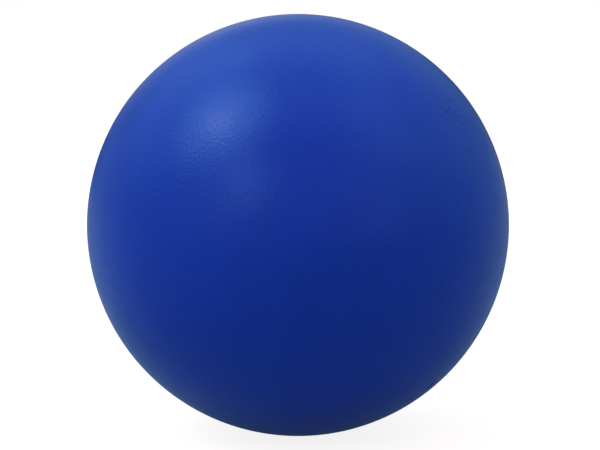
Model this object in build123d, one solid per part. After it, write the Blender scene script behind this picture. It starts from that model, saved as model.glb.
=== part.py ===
from build123d import *

import math
import os

# A full-size composite croquet ball: two hard plastic cups, joined tongue and groove round the
# middle, over a glued-in core of granulated cork and rubber.
# Millimetres. The origin is the ball's centre and +Z is up. The cups were moulded along Y, so Y
# is the axis of every piece, the front cup is on the -Y side, and the joint lies in the XZ plane.

# ---------- driving dimensions ----------
INCH = 25.4
BALL_DIAMETER = 3.625 * INCH  # regulation 3 5/8 in
SHELL_WALL = 6.0              # wall of the two plastic cups
GLUE_FILM = 0.4               # adhesive between the cups and the core

# joint between the two cups
JOINT_GAP = 0.15              # film of weld cement between the faces of the joint
TONGUE_THICKNESS = 2.0        # across the wall, centred in it
TONGUE_LENGTH = 3.0           # from the front cup's rim
TONGUE_LEAD = 0.3             # chamfer on the tongue's two corners, which leads it in
RIM_BEVEL = 0.35              # 45 degree bevel on each rim's outer edge, filled by the bead

# ---------- worked out from them ----------
BALL_R = BALL_DIAMETER / 2
CUP_R = BALL_R - SHELL_WALL          # inside of the cups
CORE_R = CUP_R - GLUE_FILM
TONGUE_R = BALL_R - SHELL_WALL / 2   # middle of the tongue, measured from the Y axis
RIM_Y = JOINT_GAP / 2                # each cup's rim stands this far from the XZ plane
GROOVE_THICKNESS = TONGUE_THICKNESS + 2 * JOINT_GAP
GROOVE_LENGTH = TONGUE_LENGTH + JOINT_GAP
CLEAR = 2 * BALL_R                   # larger than anything that is cut


# ---------- sections, drawn in the XY plane on the +X side of the Y axis ----------
def block(x_low, x_high, y_low, y_high):
    """Rectangle between the given limits."""
    middle = Pos((x_low + x_high) / 2, (y_low + y_high) / 2)
    return middle * Rectangle(x_high - x_low, y_high - y_low)


def half_disc(radius):
    """The half of a disc about the origin that lies beside the Y axis."""
    return Circle(radius) & block(0, CLEAR, -CLEAR, CLEAR)


def rim_bevel(side):
    """Corner cut from a rim's outer edge. side is -1 on the front cup and +1 on the rear one."""
    rim_r = math.sqrt(BALL_R**2 - RIM_Y**2)
    corner = (rim_r + RIM_BEVEL, side * (RIM_Y - RIM_BEVEL))
    on_rim_side = (rim_r - 2 * RIM_BEVEL, corner[1])
    on_ball_side = (corner[0], side * (RIM_Y + 2 * RIM_BEVEL))
    return make_face(Polyline(corner, on_rim_side, on_ball_side, close=True))


def wall_section():
    """The plastic wall, from pole to pole."""
    return half_disc(BALL_R) - half_disc(CUP_R)


def tongue_section():
    """The tongue with its chamfered end, rooted just inside the front cup's rim."""
    low = TONGUE_R - TONGUE_THICKNESS / 2
    high = TONGUE_R + TONGUE_THICKNESS / 2
    end = TONGUE_LENGTH - RIM_Y
    root = -RIM_Y - TONGUE_LEAD
    return make_face(
        Polyline(
            (low, root),
            (high, root),
            (high, end - TONGUE_LEAD),
            (high - TONGUE_LEAD, end),
            (low + TONGUE_LEAD, end),
            (low, end - TONGUE_LEAD),
            close=True,
        )
    )


def groove_section():
    """The groove, which keeps the joint's gap on the tongue's sides and end."""
    half = GROOVE_THICKNESS / 2
    return block(TONGUE_R - half, TONGUE_R + half, -RIM_Y, GROOVE_LENGTH - RIM_Y)


def front_section():
    cup = wall_section() & block(0, CLEAR, -CLEAR, -RIM_Y)
    return cup - rim_bevel(-1) + tongue_section()


def rear_section():
    cup = wall_section() & block(0, CLEAR, RIM_Y, CLEAR)
    return cup - rim_bevel(1) - groove_section()


def weld_section():
    """All of the wall's section near the joint that neither cup fills."""
    joint = block(0, CLEAR, -RIM_Y - 2 * RIM_BEVEL, GROOVE_LENGTH)
    return (wall_section() & joint) - front_section() - rear_section()


# ---------- pieces ----------
def turned(section):
    """Solid of revolution about the Y axis."""
    return revolve(section, Axis.Y, 360)


def ball(radius):
    return turned(half_disc(radius))


pieces = {
    "front_shell": turned(front_section()),
    "rear_shell": turned(rear_section()),
    "seam_weld": turned(weld_section()),
    "core_glue": ball(CUP_R) - ball(CORE_R),
    "core": ball(CORE_R),
}

# densities in g/cm3, which show that these walls and this core make the regulation 16 oz
HARD_PLASTIC = 1.35
CORK_RUBBER = 0.98
ADHESIVE = 1.10
DENSITY = {
    "front_shell": HARD_PLASTIC,
    "rear_shell": HARD_PLASTIC,
    "seam_weld": HARD_PLASTIC,
    "core_glue": ADHESIVE,
    "core": CORK_RUBBER,
}

os.makedirs("parts", exist_ok=True)
mass = 0.0
for name, shape in pieces.items():
    export_step(shape, f"parts/{name}.step")
    grams = shape.volume / 1000 * DENSITY[name]
    mass += grams
    print(f"{name}: {shape.volume / 1000:.2f} cm3, {grams:.1f} g")
print(f"ball: {BALL_DIAMETER:.2f} mm across, {mass:.1f} g")
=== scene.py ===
import math
import random

import bmesh
import bpy
import numpy as np
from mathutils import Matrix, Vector, noise


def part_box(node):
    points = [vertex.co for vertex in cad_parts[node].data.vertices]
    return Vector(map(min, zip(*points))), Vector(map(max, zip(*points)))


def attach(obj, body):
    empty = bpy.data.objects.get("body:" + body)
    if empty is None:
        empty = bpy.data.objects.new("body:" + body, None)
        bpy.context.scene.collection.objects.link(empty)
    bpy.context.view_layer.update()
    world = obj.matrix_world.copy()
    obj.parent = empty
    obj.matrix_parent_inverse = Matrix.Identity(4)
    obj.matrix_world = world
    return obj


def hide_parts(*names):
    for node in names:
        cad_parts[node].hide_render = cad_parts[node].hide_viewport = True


# A full-size croquet ball with a satin, moulded-through blue plastic case. Metres; +Z is up, the
# camera looks along +Y, and the joint between the two cups lies in the XZ plane.

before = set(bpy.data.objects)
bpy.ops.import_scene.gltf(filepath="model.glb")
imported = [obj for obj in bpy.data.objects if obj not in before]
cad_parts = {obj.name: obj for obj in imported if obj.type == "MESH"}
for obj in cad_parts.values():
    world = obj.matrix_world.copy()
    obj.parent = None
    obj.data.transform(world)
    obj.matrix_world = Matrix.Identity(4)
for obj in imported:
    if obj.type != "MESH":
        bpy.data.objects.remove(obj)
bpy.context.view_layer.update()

MM = 0.001

# ---------- sizes, from the frame and from the joint's own dimensions ----------
BALL_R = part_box("seam_weld")[1].x
CUP_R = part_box("core_glue")[1].x     # inside of the cups
CORE_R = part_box("core")[1].x
WALL = BALL_R - CUP_R
RIM_Y = 0.075 * MM                   # each cup's rim stands this far from the XZ plane
BEVEL = 0.35 * MM                    # bevel on the rim's outer edge, filled by the weld bead
JOINT_GAP = 2 * RIM_Y
TONGUE_HALF = 1.0 * MM               # half of the tongue's thickness
TONGUE_R = BALL_R - WALL / 2         # middle of the tongue
TONGUE_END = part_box("front_shell")[1].y
TONGUE_LEAD = 0.3 * MM               # chamfer on the tongue's end and in the groove's bottom
CLEARANCE = 0.01 * MM                # between pieces that touch inside the ball

EDGE_Y = RIM_Y + BEVEL               # where a cup's skin meets the bead
SEAM_DIP = 0.030 * MM                # shrink line on each side of the bead
SEAM_DIP_WIDTH = 0.11 * MM
WAVE_DEPTH, WAVES = 0.030 * MM, 2.6  # slight undulation of the skin: depth, waves per radius
PEEL_DEPTH, PEELS = 0.004 * MM, 34.0  # orange peel, the same

FRONT, REAR = -1, 1

GRANULE = 3.2 * MM                   # cork granules of the core
GRANULE_GROOVE = 0.22 * MM           # depth of the groove between two of them
GROOVE_SHARE = 0.30                  # its width, as a share of a granule
GLUE_WAVE, GLUE_WAVE_LENGTH = 0.08 * MM, 4 * MM

# graze at the upper right of the front: chips, in a scatter of fine pits and short scrapes
GRAZE_CHIPS = ((50.5, 33), (56.5, 33), (57.5, 36.5), (58, 31), (57, 29.5), (56, 31.6),
               (53.5, 33.8), (46, 31.5))
FINE_PITS, SCRAPES = 16, 12
SPECKS = ((5, 30), (-3, 18), (15, -4), (31, -4), (-18, -34), (-3, -33))
PINHOLES = ((35, 3), (39, -14), (16, 10), (48, 22), (56, 27), (54.5, 22.5))
WEAR_PITS, WEAR_SCRATCHES = 26, 5

# ---------- mesh density ----------
SKIN_RINGS = 120                     # rings of faces from a cup's pole to its rim
LINER_RINGS = 26                     # the same on its hidden inside
ROUND = 8 * SKIN_RINGS               # points round each of the weld's rings
RIM_BAND = [b * MM for b in (0.55, 0.35, 0.22, 0.14, 0.08, 0.03, 0.0)]  # skin rings by the bead


# ---------- directions ----------
def direction(azimuth, elevation):
    """Unit vector from the ball's centre. Azimuth 0 is -Y, towards the camera, and 90 is +X."""
    a, e = math.radians(azimuth), math.radians(elevation)
    return Vector((math.sin(a) * math.cos(e), -math.cos(a) * math.cos(e), math.sin(e)))


# ---------- surface marks ----------
class Pit:
    """Small round crater, or with a negative depth a nib that stands proud."""

    def __init__(self, azimuth, elevation, radius, depth):
        self.centre = direction(azimuth, elevation)
        self.radius, self.depth = radius, depth
        self.reach = 1.8 * radius

    def sink(self, points):
        away = np.linalg.norm(points - np.array(self.centre) * BALL_R, axis=1) / self.radius
        bowl = np.clip(1 - away**2, 0, None) ** 1.5
        lip = 0.15 * np.exp(-(((away - 1.15) / 0.25) ** 2))
        return self.depth * (bowl - lip)


class Scratch:
    """Straight groove between two directions, deepest in its middle."""

    def __init__(self, start, end, width, depth):
        self.start, self.end = (np.array(direction(*d)) * BALL_R for d in (start, end))
        self.width, self.depth = width, depth
        self.centre = Vector((self.start + self.end) / 2).normalized()
        self.reach = np.linalg.norm(self.end - self.start) / 2 + 2 * width

    def sink(self, points):
        run = self.end - self.start
        along = (points - self.start) @ run / (run @ run)
        nearest = self.start + np.clip(along, 0, 1)[:, None] * run
        away = np.linalg.norm(points - nearest, axis=1) / self.width
        fade = np.clip(4 * along * (1 - along), 0, 1) ** 0.5
        return self.depth * fade * np.exp(-(away**2))


def marks():
    """Every pit, nib and scratch on the ball."""
    found = []
    rng = random.Random(11)
    for azimuth, elevation in GRAZE_CHIPS:
        size = rng.uniform(0.36, 0.52) * MM
        found.append(Pit(azimuth, elevation, size, 0.32 * size))
    for _ in range(FINE_PITS):
        azimuth, elevation = rng.gauss(52, 4), rng.gauss(32, 1.8)
        size = rng.uniform(0.22, 0.34) * MM
        found.append(Pit(azimuth, elevation, size, 0.40 * size))
    for _ in range(SCRAPES):
        azimuth, elevation = rng.gauss(52, 3.5), rng.gauss(32.5, 2.2)
        end = (azimuth + rng.uniform(0.6, 2.0), elevation - rng.uniform(0.4, 1.4))
        found.append(Scratch((azimuth, elevation), end, 0.20 * MM, 0.07 * MM))
    found.append(Scratch((47.5, 35.2), (50.5, 33.8), 0.16 * MM, 0.08 * MM))
    # nick low on the right, with two light grazes beside it
    found.append(Scratch((58.1, -46.1), (60.3, -43.6), 0.50 * MM, 0.32 * MM))
    found.append(Scratch((53.0, -45.5), (57.5, -45.8), 0.24 * MM, 0.08 * MM))
    found.append(Scratch((47.5, -50.5), (53.0, -48.5), 0.26 * MM, 0.08 * MM))
    # specks of dust moulded into the skin, and pinholes
    for azimuth, elevation in SPECKS:
        found.append(Pit(azimuth, elevation, 0.28 * MM, -0.050 * MM))
    for azimuth, elevation in PINHOLES:
        found.append(Pit(azimuth, elevation, 0.26 * MM, 0.070 * MM))
    # light wear from play on the sides and back
    for _ in range(WEAR_PITS):
        size = rng.uniform(0.22, 0.44) * MM
        found.append(Pit(rng.uniform(70, 290), rng.uniform(-60, 70), size, 0.35 * size))
    for _ in range(WEAR_SCRATCHES):
        azimuth, elevation = rng.uniform(80, 280), rng.uniform(-50, 60)
        end = (azimuth + rng.uniform(-5, 5), elevation + rng.uniform(-4, 4))
        found.append(Scratch((azimuth, elevation), end, 0.16 * MM, 0.05 * MM))
    return found


MARKS = marks()


# ---------- the ball's outer surface ----------
def outer_points(points):
    """Moves points near the ball's surface onto it, with its undulation, orange peel and marks."""
    away = points / np.linalg.norm(points, axis=1)[:, None]
    sink = np.empty(len(away))
    for i, d in enumerate(away):
        v = Vector(d)
        wave = noise.noise(v * WAVES) * 0.5 + 0.5
        peel = noise.noise(v * PEELS) * 0.5 + 0.5
        sink[i] = WAVE_DEPTH * wave + PEEL_DEPTH * peel
    flat = away * BALL_R
    from_edge = (np.abs(flat[:, 1]) - EDGE_Y) / SEAM_DIP_WIDTH
    sink += SEAM_DIP * np.exp(-(from_edge**2))
    for mark in MARKS:
        near = np.linalg.norm(flat - np.array(mark.centre) * BALL_R, axis=1) < mark.reach
        if near.any():
            sink[near] += mark.sink(flat[near])
    return away * (BALL_R - sink)[:, None]


def new_object(name, bm, outward=True):
    """Object of the mesh, smooth, with all its faces turned outward or left as they are."""
    mesh = bpy.data.meshes.new(name)
    if outward:
        bmesh.ops.recalc_face_normals(bm, faces=bm.faces)
    bm.to_mesh(mesh)
    bm.free()
    mesh.shade_smooth()
    piece = bpy.data.objects.new(name, mesh)
    bpy.context.scene.collection.objects.link(piece)
    return piece


def disc_grid(rings):
    """Square grid wrapped onto the unit disc. Ring k holds 8k evenly spaced points, so the faces
    are even in area and the disc has no pole."""
    places = {}
    for i in range(-rings, rings + 1):
        for j in range(-rings, rings + 1):
            if abs(i) > abs(j):
                radius, turn = i, math.pi / 4 * j / i
            elif j:
                radius, turn = j, math.pi / 2 - math.pi / 4 * i / j
            else:
                radius, turn = 0, 0
            places[i, j] = (radius * math.cos(turn) / rings, radius * math.sin(turn) / rings)
    return places


def dome(bm, rings, side, radius, rim_y):
    """Half of a sphere about the Y axis, from its pole down to y = rim_y."""
    half_angle = math.acos(rim_y / radius) / 2
    verts = {}
    for key, (x, z) in disc_grid(rings).items():
        from_axis = math.hypot(x, z)
        polar = 2 * math.asin(from_axis * math.sin(half_angle))
        share = math.sin(polar) / from_axis if from_axis else 0
        verts[key] = bm.verts.new(
            (radius * share * x, side * radius * math.cos(polar), radius * share * z)
        )
    for i in range(-rings, rings):
        for j in range(-rings, rings):
            corners = ((i, j), (i + 1, j), (i + 1, j + 1), (i, j + 1))
            bm.faces.new([verts[c] for c in corners])


def turn_of(v):
    """The point's angle round the Y axis."""
    return math.atan2(v.co.z, v.co.x)


def open_rims(bm):
    """The points on open edges, in order round the Y axis."""
    rim = {v for e in bm.edges if e.is_boundary for v in e.verts}
    return sorted(rim, key=turn_of)


def ring_like(bm, ring, radius, y):
    """New ring at the same angles as the given one."""
    made = []
    for v in ring:
        turn = turn_of(v)
        made.append(bm.verts.new((radius * math.cos(turn), y, radius * math.sin(turn))))
    return made


def bridge(bm, ring_a, ring_b):
    """Faces between two rings of as many points."""
    for k in range(len(ring_a)):
        bm.faces.new((ring_b[k - 1], ring_b[k], ring_a[k], ring_a[k - 1]))


def zip_rings(bm, ring_a, ring_b):
    """Triangles between two rings whose counts differ, each in order round the Y axis."""
    rings = (ring_a + ring_a[:1], ring_b + ring_b[:1])
    turns = [[turn_of(v) for v in ring] for ring in (ring_a, ring_b)]
    for each in turns:
        each.append(each[0] + 2 * math.pi)
        each.append(math.inf)
    at = [0, 0]
    while at != [len(ring_a), len(ring_b)]:
        step = 0 if turns[0][at[0] + 1] <= turns[1][at[1] + 1] else 1
        here, there = rings[0][at[0]], rings[1][at[1]]
        at[step] += 1
        bm.faces.new((here, there, rings[step][at[step]]))


def rim_profile(side):
    """(radius, y) of the joint's rings on a cup, from the outer bevel to the inner edge."""
    rim_r = math.sqrt(BALL_R**2 - RIM_Y**2)
    half = TONGUE_HALF + (0 if side == FRONT else JOINT_GAP)
    end = TONGUE_END if side == FRONT else TONGUE_END + JOINT_GAP
    rim = side * RIM_Y
    return [
        (rim_r - BEVEL, rim),
        (TONGUE_R + half, rim),
        (TONGUE_R + half, end - TONGUE_LEAD),
        (TONGUE_R + half - TONGUE_LEAD, end),
        (TONGUE_R - half + TONGUE_LEAD, end),
        (TONGUE_R - half, end - TONGUE_LEAD),
        (TONGUE_R - half, rim),
        (CUP_R + CLEARANCE, rim),
    ]


def refine_marks(bm):
    """Splits the skin's faces round each mark, so that its shape is in the mesh."""
    for pass_reach in (2.2, 1.3):
        edges = {}
        for mark in MARKS:
            centre = mark.centre * BALL_R
            reach = mark.reach * pass_reach
            for face in bm.faces:
                if (face.calc_center_median() - centre).length < reach:
                    edges.update(dict.fromkeys(face.edges))
        if edges:
            bmesh.ops.subdivide_edges(bm, edges=list(edges), cuts=1, use_grid_fill=True)


def make_cup(name, side):
    """One plastic cup: outer skin, bevel, rim with its tongue or groove, and inside."""
    bm = bmesh.new()
    dome(bm, SKIN_RINGS, side, BALL_R, EDGE_Y + RIM_BAND[0])
    refine_marks(bm)
    ring = open_rims(bm)
    for band in RIM_BAND[1:]:
        y = EDGE_Y + band
        following = ring_like(bm, ring, math.sqrt(BALL_R**2 - y**2), side * y)
        bridge(bm, ring, following)
        ring = following
    skin = list(bm.verts)
    for v, co in zip(skin, outer_points(np.array([v.co for v in skin]))):
        v.co = co
    for radius, y in rim_profile(side):
        following = ring_like(bm, ring, radius, y)
        bridge(bm, ring, following)
        ring = following
    outer = set(bm.verts)
    dome(bm, LINER_RINGS, side, CUP_R + CLEARANCE, RIM_Y + BEVEL)
    zip_rings(bm, ring, [v for v in open_rims(bm) if v not in outer])
    return new_object(name, bm)


def make_weld(name):
    """The weld: a bead flush with the skin, and the film that follows the tongue."""
    rim_r = math.sqrt(BALL_R**2 - RIM_Y**2) - BEVEL
    tongue = TONGUE_HALF + CLEARANCE
    groove = TONGUE_HALF + JOINT_GAP - CLEARANCE
    low, high = CLEARANCE - RIM_Y, RIM_Y - CLEARANCE
    inner = CUP_R + CLEARANCE
    across = [EDGE_Y * k / 8 for k in range(-8, 9)]
    bead = [(math.sqrt(BALL_R**2 - y**2), y) for y in across]
    film = [
        (rim_r, high),
        (TONGUE_R + groove, high),
        (TONGUE_R + groove, TONGUE_END + JOINT_GAP - CLEARANCE),
        (TONGUE_R - groove, TONGUE_END + JOINT_GAP - CLEARANCE),
        (TONGUE_R - groove, high),
        (inner, high),
        (inner, low),
        (TONGUE_R - tongue, low),
        (TONGUE_R - tongue, TONGUE_END + CLEARANCE),
        (TONGUE_R + tongue, TONGUE_END + CLEARANCE),
        (TONGUE_R + tongue, low),
        (rim_r, low),
    ]
    bm = bmesh.new()
    rings = []
    for radius, y in bead + film:
        turns = [2 * math.pi * k / ROUND for k in range(ROUND)]
        rings.append(
            [bm.verts.new((radius * math.cos(t), y, radius * math.sin(t))) for t in turns]
        )
    skin = [v for ring in rings[: len(bead)] for v in ring]
    for v, co in zip(skin, outer_points(np.array([v.co for v in skin]))):
        v.co = co
    for k, ring in enumerate(rings):
        bridge(bm, ring, rings[(k + 1) % len(rings)])
    return new_object(name, bm)


def make_core(name):
    """The moulded core: bonded granules, with a fine groove between neighbours."""
    bm = bmesh.new()
    bmesh.ops.create_icosphere(bm, subdivisions=6, radius=CORE_R - CLEARANCE)
    tones = []
    for v in bm.verts:
        near, points = noise.voronoi(v.co / GRANULE)
        gap = min((near[1] - near[0]) / GROOVE_SHARE, 1.0)
        v.co *= 1 - GRANULE_GROOVE * (1 - gap) ** 2 / CORE_R
        tones.append(points[0].dot(Vector((12.9898, 78.233, 37.719))) % 1.0)
    piece = new_object(name, bm)
    attribute = piece.data.attributes.new("granule", "FLOAT", "POINT")
    attribute.data.foreach_set("value", tones)
    return piece


def make_glue(name):
    """The adhesive film, a closed hollow layer that is a little uneven where it was brushed on."""
    bm = bmesh.new()
    outside = bmesh.ops.create_icosphere(bm, subdivisions=5, radius=CUP_R - CLEARANCE)["verts"]
    for v in outside:
        v.co *= 1 - GLUE_WAVE * (0.5 + 0.5 * noise.noise(v.co / GLUE_WAVE_LENGTH)) / CUP_R
    inside = bmesh.ops.create_icosphere(bm, subdivisions=5, radius=CORE_R + CLEARANCE)["verts"]
    inner_faces = {f for v in inside for f in v.link_faces}
    bmesh.ops.reverse_faces(bm, faces=list(inner_faces))
    return new_object(name, bm, outward=False)


# ---------- materials ----------
class Nodes:
    """Short calls that add procedural nodes to a node tree."""

    def __init__(self, tree):
        self.nodes, self.links = tree.nodes, tree.links

    def node(self, kind, inputs, **settings):
        made = self.nodes.new(kind)
        for key, value in settings.items():
            setattr(made, key, value)
        for socket, value in inputs.items():
            if isinstance(value, bpy.types.NodeSocket):
                self.links.new(value, made.inputs[socket])
            else:
                made.inputs[socket].default_value = value
        return made.outputs

    def span(self, value, low, high, to_low, to_high, smooth=False):
        """value's range low..high, clamped and stretched to another range."""
        ends = {"From Min": low, "From Max": high, "To Min": to_low, "To Max": to_high}
        kind = "SMOOTHSTEP" if smooth else "LINEAR"
        outputs = self.node("ShaderNodeMapRange", {"Value": value, **ends}, interpolation_type=kind)
        return outputs["Result"]

    def math(self, operation, a, b):
        return self.node("ShaderNodeMath", {0: a, 1: b}, operation=operation)["Value"]


class Shader(Nodes):
    """A Principled material, with short calls for the procedural nodes that feed it."""

    def __init__(self, name, **constants):
        self.material = bpy.data.materials.new(name)
        self.material.use_nodes = True
        super().__init__(self.material.node_tree)
        self.bsdf = self.nodes["Principled BSDF"]
        for socket, value in constants.items():
            self.bsdf.inputs[socket.replace("_", " ")].default_value = value
        self.place = self.node("ShaderNodeTexCoord", {})["Object"]

    def noise(self, size, detail=2.0, roughness=0.5, place=None):
        """Noise whose features are about that size, from 0 to 1."""
        inputs = {"Vector": place or self.place, "Scale": 1 / size, "Detail": detail}
        return self.node("ShaderNodeTexNoise", {**inputs, "Roughness": roughness})["Fac"]

    def ramp(self, value, stops):
        """Colour from (place, (r, g, b)) stops."""
        outputs = self.node("ShaderNodeValToRGB", {"Fac": value})
        elements = outputs["Color"].node.color_ramp.elements
        while len(elements) < len(stops):
            elements.new(0.5)
        for element, (place, colour) in zip(elements, stops):
            element.position, element.color = place, (*colour, 1)
        return outputs["Color"]

    def bump(self, height, distance, under=None):
        inputs = {"Height": height, "Distance": distance, "Strength": 1.0}
        if under:
            inputs["Normal"] = under
        return self.node("ShaderNodeBump", inputs)["Normal"]

    def feed(self, socket, value):
        self.links.new(value, self.bsdf.inputs[socket])


PLASTIC = (0.0070, 0.0367, 0.393)
# the skin's gloss: a blue-tinted satin under a thin clear glaze
GLOSS = {
    "IOR": 1.4,
    "Specular_Tint": (0.40, 0.70, 1.0, 1),
    "Coat_Weight": 0.30,
    "Coat_Roughness": 0.05,
    "Coat_IOR": 1.5,
}


def shade(colour, factor):
    return tuple(c * factor for c in colour)


def make_plastic():
    """Moulded-through blue plastic: faint mottling, satin with softer patches, orange peel."""
    s = Shader("satin_blue_plastic", **GLOSS)
    mottle = s.math("ADD", s.noise(14 * MM), s.noise(2.2 * MM, detail=3))
    s.feed("Base Color", s.ramp(s.math("MULTIPLY", mottle, 0.5), [
        (0.36, shade(PLASTIC, 0.95)),
        (0.64, shade(PLASTIC, 1.05)),
    ]))
    s.feed("Roughness", s.span(s.noise(9 * MM, detail=4), 0.3, 0.7, 0.31, 0.36))
    peel = s.bump(s.noise(1.0 * MM), 0.018 * MM)
    grain = s.bump(s.noise(0.48 * MM), 0.060 * MM, under=peel)
    s.feed("Normal", grain)
    s.feed("Coat Normal", grain)
    return s.material


def make_weld_plastic():
    """The weld's plastic, a shade darker, with fine lines from being turned flush."""
    s = Shader("turned_blue_weld", **GLOSS)
    s.feed("Base Color", s.ramp(s.noise(1.5 * MM, detail=3), [
        (0.3, shade(PLASTIC, 0.80)),
        (0.7, shade(PLASTIC, 0.92)),
    ]))
    s.feed("Roughness", s.span(s.noise(3 * MM), 0.3, 0.7, 0.26, 0.33))
    squeezed = s.node("ShaderNodeVectorMath", {0: s.place, 1: (0.05, 1.0, 0.05)},
                      operation="MULTIPLY")["Vector"]
    lines = s.bump(s.noise(0.10 * MM, place=squeezed), 0.003 * MM)
    s.feed("Normal", lines)
    s.feed("Coat Normal", lines)
    return s.material


def make_cork():
    """Cork granules of mixed browns with black rubber crumbs among them."""
    s = Shader("cork_and_rubber", IOR=1.4)
    tone = s.node("ShaderNodeAttribute", {}, attribute_name="granule")["Fac"]
    grain = s.noise(0.5 * MM, detail=4)
    mixed = s.math("ADD", s.math("MULTIPLY", tone, 0.8), s.math("MULTIPLY", grain, 0.2))
    s.feed("Base Color", s.ramp(mixed, [
        (0.22, (0.012, 0.011, 0.010)),
        (0.27, (0.110, 0.055, 0.024)),
        (0.60, (0.330, 0.185, 0.085)),
        (0.95, (0.470, 0.290, 0.150)),
    ]))
    s.feed("Roughness", s.span(tone, 0.2, 0.3, 0.62, 0.88))
    s.feed("Normal", s.bump(grain, 0.08 * MM))
    return s.material


def make_adhesive():
    """Amber contact adhesive, brushed on."""
    s = Shader("amber_adhesive", IOR=1.45)
    s.feed("Base Color", s.ramp(s.noise(5 * MM, detail=3), [
        (0.3, (0.300, 0.170, 0.045)),
        (0.7, (0.520, 0.340, 0.120)),
    ]))
    s.feed("Roughness", s.span(s.noise(2 * MM), 0.3, 0.7, 0.25, 0.45))
    s.feed("Normal", s.bump(s.noise(1.2 * MM), 0.05 * MM))
    return s.material


# ---------- pieces ----------
def place_piece(piece, node, material):
    piece.data.materials.append(material)
    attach(piece, "root")
    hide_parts(node)


plastic = make_plastic()
place_piece(make_cup("front_cup", FRONT), "front_shell", plastic)
place_piece(make_cup("rear_cup", REAR), "rear_shell", plastic)
place_piece(make_weld("weld_bead"), "seam_weld", make_weld_plastic())
place_piece(make_glue("adhesive_film"), "core_glue", make_adhesive())
place_piece(make_core("granule_core"), "core", make_cork())


# ---------- camera ----------
CAMERA_ELEVATION = 5.0
PICTURE_WIDTH = 600
BALL_RADIUS_IN_PICTURE = 0.352       # of the picture's width
LENS, SENSOR = 85.0, 36.0

half_view = math.atan(BALL_RADIUS_IN_PICTURE * SENSOR / LENS)
camera = bpy.data.objects.new("camera", bpy.data.cameras.new("camera"))
bpy.context.scene.collection.objects.link(camera)
towards_camera = direction(0, CAMERA_ELEVATION)
camera.location = towards_camera * (BALL_R / math.sin(half_view))
camera.rotation_euler = (-towards_camera).to_track_quat("-Z", "Y").to_euler()
camera.data.lens, camera.data.sensor_width = LENS, SENSOR
camera.data.clip_start, camera.data.clip_end = 0.01, 20
camera.data.shift_x = 2 / PICTURE_WIDTH
bpy.context.scene.camera = camera


# ---------- studio ----------
COOL = (0.36, 0.71, 1.0)             # daylight from high windows
WHITE = (1.0, 1.0, 1.0)              # the camera's side, and a white backdrop
# soft lobes of light: azimuth, elevation, half-widths in degrees where the lobe is full and where
# it ends, strength
COOL_LOBES = {
    "ceiling": (0, 90, 0, 45, 0.68),
    "left": (-90, 10, 0, 90, 0.53),
    "right": (90, 10, 0, 90, 0.50),
    "left_high": (-95, 45, 0, 40, 0.44),
    "right_high": (95, 45, 0, 40, 0.295),
    "back_high": (180, 45, 0, 45, 0.415),
    "overhead": (180, 67, 10, 32, 0.16),
    "key": (-65, 52, 8, 26, 2.56),
    "fill": (-30, 26, 2, 18, 1.38),
    "back_left": (-128, 50, 5, 25, 0.36),
    "side_right": (65, 48, 4, 24, 0.32),
}
WHITE_LOBES = {
    "key_tip": (-65, 51, 0, 8, 2.6),
    "key_point": (-65, 51, 0, 5, 1.6),
    "front": (0, 20, 0, 90, 0.275),
    "backdrop_top": (180, 19, 3, 17, 0.144),
    "backdrop_left": (-168, 16, 3, 17, 0.185),
    "backdrop_right": (156, -5, 3, 17, 0.152),
}
FLOOR_SEEN = 0.75                    # the floor's own colour, lit by the room
FLOOR_LIFT = 0.86                    # added to it, so that it reads as white
FLOOR_SPILL = 0.35                   # what the floor sends the ball of the room's light
FLOOR_RADIUS, FLOOR_SIDES = 4.0, 96
# painted glow: the sheet emits light of its own, with no lamp under it, beneath the ball and
# further out to each side, with the distances between which the first fades out and the others fade
# in
PAINTED_GLOW_NEAR, PAINTED_GLOW_LEFT, PAINTED_GLOW_RIGHT = 0.075, 0.160, 0.034
NEAR_FADE, SIDE_FADE = (0.02, 0.10), (0.03, 0.15)


def to_camera_only(n, output, for_camera, for_others):
    """Ends a tree with one shader for camera rays and another for all the rest."""
    is_camera = n.node("ShaderNodeLightPath", {})["Is Camera Ray"]
    mixed = n.node("ShaderNodeMixShader", {0: is_camera, 1: for_others, 2: for_camera})[0]
    n.node(output, {"Surface": mixed})


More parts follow.
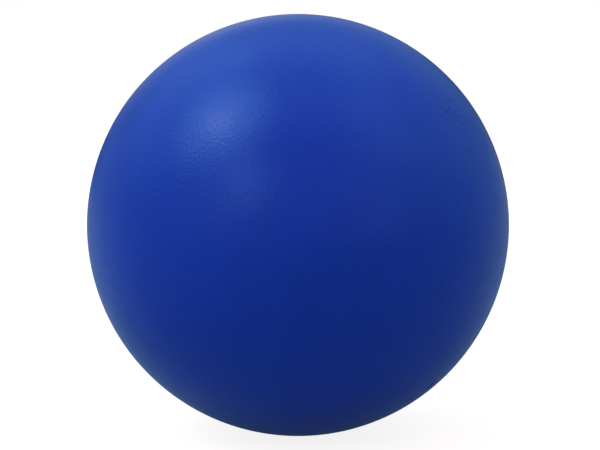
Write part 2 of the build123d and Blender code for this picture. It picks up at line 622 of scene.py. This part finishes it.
def make_floor():
    """Plain pale sheet under the ball. It reads as white to the camera, and sends the ball only as
    much light as a white sheet in the ball's own shade would, plus a painted glow of its own
    beneath the ball and to each side that lights the ball's underside."""
    bm = bmesh.new()
    bmesh.ops.create_circle(bm, cap_ends=True, segments=FLOOR_SIDES, radius=FLOOR_RADIUS)
    floor = new_object("floor", bm, outward=False)
    floor.location.z = -BALL_R
    material = bpy.data.materials.new("white_sheet")
    material.use_nodes = True
    n = Nodes(material.node_tree)
    n.nodes.clear()
    neutral = [FLOOR_SEEN * min(COOL) / c for c in COOL]
    lit = n.node("ShaderNodeBsdfDiffuse", {"Color": (*neutral, 1)})[0]
    lift = n.node("ShaderNodeEmission", {"Strength": FLOOR_LIFT})[0]
    seen = n.node("ShaderNodeAddShader", {0: lit, 1: lift})[0]
    place = n.node("ShaderNodeTexCoord", {})["Object"]
    away = n.node("ShaderNodeVectorMath", {0: place}, operation="LENGTH")["Value"]
    outward = n.node("ShaderNodeVectorMath", {0: place}, operation="NORMALIZE")["Vector"]
    across = n.node("ShaderNodeSeparateXYZ", {0: outward})["X"]
    # painted glow: the sheet emits light to the ball's left and right beyond a few centimetres, and
    # a pool of it right under the ball, to light the ball's underside
    left = n.span(across, -1, 0, PAINTED_GLOW_LEFT, 0, smooth=True)
    right = n.span(across, 0, 1, 0, PAINTED_GLOW_RIGHT, smooth=True)
    further = n.span(away, *SIDE_FADE, 0, 1, smooth=True)
    sides = n.math("MULTIPLY", n.math("ADD", left, right), further)
    painted_glow = n.math("ADD", sides, n.span(away, *NEAR_FADE, PAINTED_GLOW_NEAR, 0, smooth=True))
    spill = n.node("ShaderNodeBsdfDiffuse", {"Color": (*[FLOOR_SPILL] * 3, 1)})[0]
    painted_glow_emission = n.node("ShaderNodeEmission", {"Color": (*COOL, 1), "Strength": painted_glow})[0]
    sent = n.node("ShaderNodeAddShader", {0: spill, 1: painted_glow_emission})[0]
    to_camera_only(n, "ShaderNodeOutputMaterial", seen, sent)
    floor.data.materials.append(material)


def make_world():
    """White to the camera; to everything else, the sum of the lobes."""
    world = bpy.data.worlds.new("studio")
    bpy.context.scene.world = world
    world.use_nodes = True
    n = Nodes(world.node_tree)
    n.nodes.clear()
    towards = n.node("ShaderNodeTexCoord", {})["Generated"]

    def light(colour, lobes):
        total = 0.0
        for name, (azimuth, elevation, full, end, strength) in lobes.items():
            facing = n.node("ShaderNodeVectorMath", {0: towards, 1: direction(azimuth, elevation)},
                            operation="DOT_PRODUCT", label=name)["Value"]
            edge, core = math.cos(math.radians(end)), math.cos(math.radians(full))
            total = n.math("ADD", total, n.span(facing, edge, core, 0, strength, smooth=True))
        return n.node("ShaderNodeBackground", {"Color": (*colour, 1), "Strength": total})[0]

    cool, white = light(COOL, COOL_LOBES), light(WHITE, WHITE_LOBES)
    room = n.node("ShaderNodeAddShader", {0: cool, 1: white})[0]
    backdrop = n.node("ShaderNodeBackground", {"Color": (1, 1, 1, 1)})[0]
    to_camera_only(n, "ShaderNodeOutputWorld", backdrop, room)


make_floor()
make_world()
bpy.context.scene.view_settings.view_transform = "Standard"
